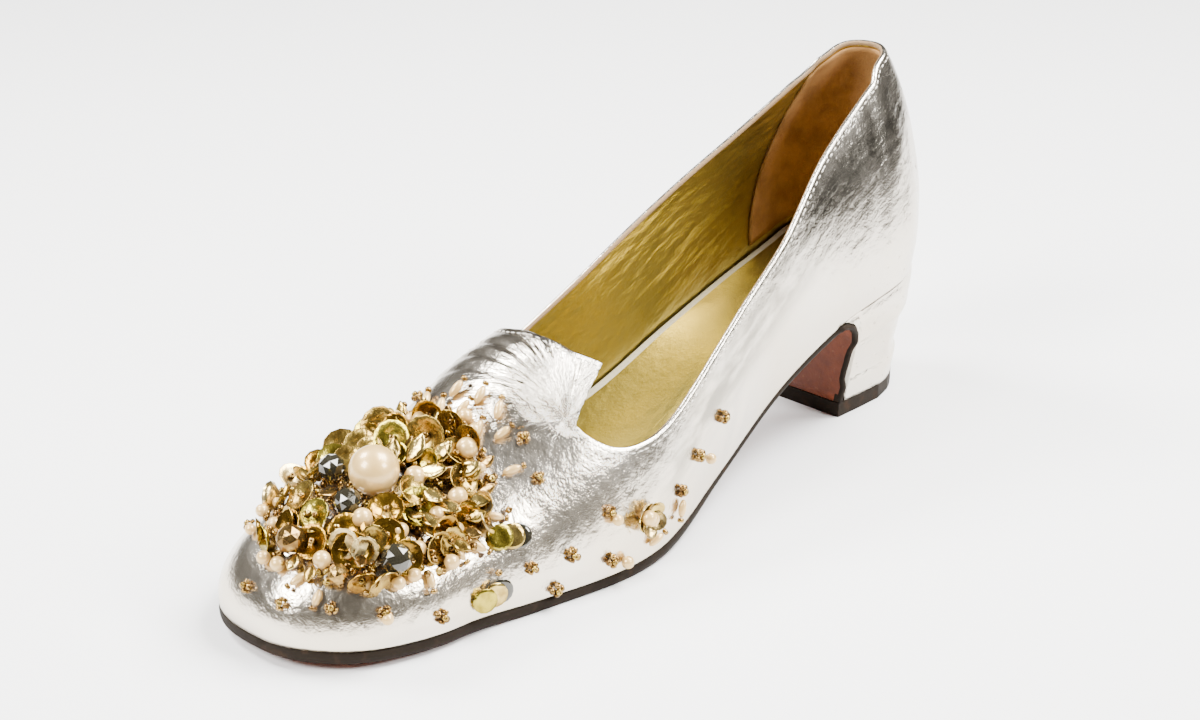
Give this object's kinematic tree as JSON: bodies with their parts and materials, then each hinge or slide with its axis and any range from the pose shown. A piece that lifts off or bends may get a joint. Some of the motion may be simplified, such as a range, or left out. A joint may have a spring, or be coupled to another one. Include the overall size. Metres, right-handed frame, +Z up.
{
  "type": "evening pump",
  "caption": "Low-heeled evening pump with a notched tongue, a thin leather sole turned down the heel's front and beadwork on the vamp.",
  "frame": {"origin": "middle of the bounding box in plan, on the floor under heel and forefoot", "axes": "+X to the outer side of a left foot, -Y to the toe, +Z up; the forefoot's flat spot and the heel's top piece stand on z = 0"},
  "size_m": [0.0804, 0.2423, 0.1016],
  "materials": {
    "silver_leather": "silver foil leather with a fine grain",
    "sole_leather": "polished sole leather with a blackened edge",
    "black_rubber": "black top piece",
    "gold_leather": "gold foil lining leather",
    "pearl": "cream imitation pearl",
    "gold_beads": "gold and brown discs, stones and seed beads"
  },
  "bodies": {
    "root": {"upper": "silver_leather", "outsole": "sole_leather", "heel_block": "silver_leather", "toplift": "black_rubber", "insole": "gold_leather", "centre_pearl": "pearl", "bead_cluster": "gold_beads", "bead_cluster_2": "gold_beads", "bead_cluster_3": "gold_beads", "bead_cluster_4": "gold_beads", "bead_cluster_5": "gold_beads", "bead_cluster_6": "gold_beads", "bead_cluster_7": "gold_beads", "bead_cluster_8": "gold_beads", "bead_cluster_9": "gold_beads", "bead_cluster_10": "gold_beads", "bead_cluster_11": "gold_beads", "bead_cluster_12": "gold_beads", "bead_cluster_13": "gold_beads", "bead_cluster_14": "gold_beads", "bead_cluster_15": "gold_beads", "bead_cluster_16": "gold_beads", "bead_cluster_17": "gold_beads", "bead_cluster_18": "gold_beads", "bead_cluster_19": "gold_beads", "bead_cluster_20": "gold_beads", "seed_flower_1": "gold_beads", "seed_flower_2": "gold_beads", "seed_flower_3": "gold_beads", "seed_flower_4": "gold_beads", "seed_flower_5": "gold_beads", "seed_flower_6": "gold_beads", "seed_flower_7": "gold_beads", "seed_flower_8": "gold_beads", "seed_flower_9": "gold_beads", "seed_flower_10": "gold_beads", "seed_flower_11": "gold_beads", "seed_flower_12": "gold_beads", "seed_flower_13": "gold_beads", "seed_flower_14": "gold_beads", "seed_flower_15": "gold_beads", "seed_flower_16": "gold_beads", "seed_flower_17": "gold_beads", "seed_flower_18": "gold_beads", "seed_flower_19": "gold_beads", "seed_flower_20": "gold_beads", "seed_flower_21": "gold_beads", "seed_flower_22": "gold_beads", "seed_flower_23": "gold_beads", "seed_flower_24": "gold_beads", "seed_flower_25": "gold_beads", "blossom_1": "gold_beads", "blossom_2": "gold_beads", "disc_patch_1": "gold_beads", "disc_patch_2": "gold_beads", "disc_patch_3": "gold_beads"}
  },
  "joints": []
}
